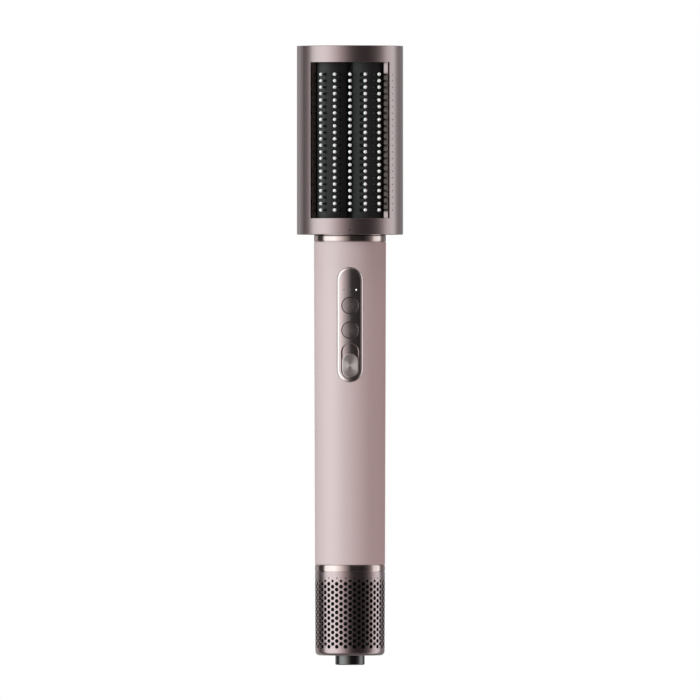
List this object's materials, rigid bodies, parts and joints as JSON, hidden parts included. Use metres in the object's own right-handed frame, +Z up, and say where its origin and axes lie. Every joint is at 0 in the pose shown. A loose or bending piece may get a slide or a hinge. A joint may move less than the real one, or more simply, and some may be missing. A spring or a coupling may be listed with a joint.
{
  "type": "hot air brush",
  "caption": "Slim round hot air brush: tapered handle with control panel and perforated intake cage, and a larger round lift-off head with a bristle window.",
  "frame": {"origin": "centre of the cord gland's bottom face, the lowest point of the upright brush", "axes": "+Z up the handle to the brush head, -Y out of the control panel and the bristle window, +X to the right seen from the front"},
  "size_m": [0.059, 0.059, 0.3438],
  "materials": {
    "satin_paint": "satin dusty pink paint",
    "rose_paint": "satin metallic dark rose paint",
    "polished_ring": "polished rose plated",
    "panel_gloss": "glossy metallised control panel",
    "cage_metal": "fine perforated satin rose metal",
    "black_plastic": "moulded black",
    "bristle_nylon": "black nylon with pale ball tips",
    "steel": "plain steel",
    "copper": "copper windings on laminations",
    "circuit_board": "solder mask green",
    "mica": "mica sheet",
    "rubber": "soft black rubber",
    "light_guide": "frosted clear",
    "grey_plastic": "moulded dark grey"
  },
  "bodies": {
    "handle": {"handle_shell": "satin_paint", "upper_ring": "polished_ring", "lower_ring": "polished_ring", "control_panel": "panel_gloss", "led_light_guide": "light_guide", "track_plate": "black_plastic", "control_board": "circuit_board", "upper_tact_switch": "black_plastic", "lower_tact_switch": "black_plastic", "slide_switch": "black_plastic", "outlet_spigot": "black_plastic", "outlet_grid": "steel", "air_duct": "grey_plastic", "lower_duct_spacer": "grey_plastic", "upper_duct_spacer": "grey_plastic", "heater_former": "mica", "heater_coil": "steel", "thermal_fuse": "steel", "thermostat": "black_plastic", "ioniser": "black_plastic", "motor_shroud": "grey_plastic", "motor_stator": "copper", "rear_bearing": "steel", "front_bearing": "steel", "rear_bearing_bridge": "steel", "front_bearing_bridge": "steel", "rear_motor_mount": "rubber", "front_motor_mount": "rubber", "driver_board": "circuit_board", "rear_frame": "grey_plastic", "filter_sleeve": "steel", "control_lead": "rubber", "supply_lead": "rubber"},
    "motor_rotor": {"rotor_shaft": "steel", "rotor_magnet": "steel", "impeller": "black_plastic"},
    "gland": {"cord_gland": "cage_metal", "gland_clip": "steel"},
    "intake_cage": {"filter_cage": "cage_metal", "cage_end_plate": "cage_metal"},
    "slide_knob": {"power_slider": "panel_gloss"},
    "upper_key": {"upper_button": "panel_gloss"},
    "lower_key": {"lower_button": "panel_gloss"},
    "twist_ring": {"bayonet_ring": "black_plastic"},
    "brush_head": {"head_shell": "rose_paint", "head_cap": "rose_paint", "head_liner": "black_plastic", "head_base": "black_plastic", "head_seal": "rubber", "head_screw_1": "steel", "head_screw_2": "steel", "head_screw_3": "steel", "bristle_bed": "black_plastic", "bristle_clamp": "grey_plastic", "bristle_strip_1": "bristle_nylon", "bristle_strip_2": "bristle_nylon", "bristle_strip_3": "bristle_nylon", "bristle_strip_4": "bristle_nylon", "bristle_strip_5": "bristle_nylon"}
  },
  "joints": [
    {"name": "head_twist", "type": "hinge", "parent": "handle", "child": "twist_ring", "pos_m": [0, 0, 0.2392], "axis": [0, 0, 1], "range_deg": [0, 30]},
    {"name": "head_lift", "type": "slide", "parent": "twist_ring", "child": "brush_head", "axis": [0, 0, 1], "range_m": [0, 0.012]},
    {"name": "upper_button_press", "type": "slide", "parent": "handle", "child": "upper_key", "axis": [0, 1, 0], "range_m": [0, 0.0006], "stiffness_N_per_m": 600},
    {"name": "lower_button_press", "type": "slide", "parent": "handle", "child": "lower_key", "axis": [0, 1, 0], "range_m": [0, 0.0006], "stiffness_N_per_m": 600},
    {"name": "power_slide", "type": "slide", "parent": "handle", "child": "slide_knob", "axis": [0, 0, 1], "range_m": [0, 0.005]},
    {"name": "rotor_spin", "type": "hinge", "parent": "handle", "child": "motor_rotor", "pos_m": [0, 0, 0.07], "axis": [0, 0, 1], "continuous": true},
    {"name": "gland_swivel", "type": "hinge", "parent": "handle", "child": "gland", "pos_m": [0, 0, 0], "axis": [0, 0, 1], "continuous": true},
    {"name": "cage_pull", "type": "slide", "parent": "handle", "child": "intake_cage", "axis": [0, 0, -1], "range_m": [0, 0.05]}
  ]
}
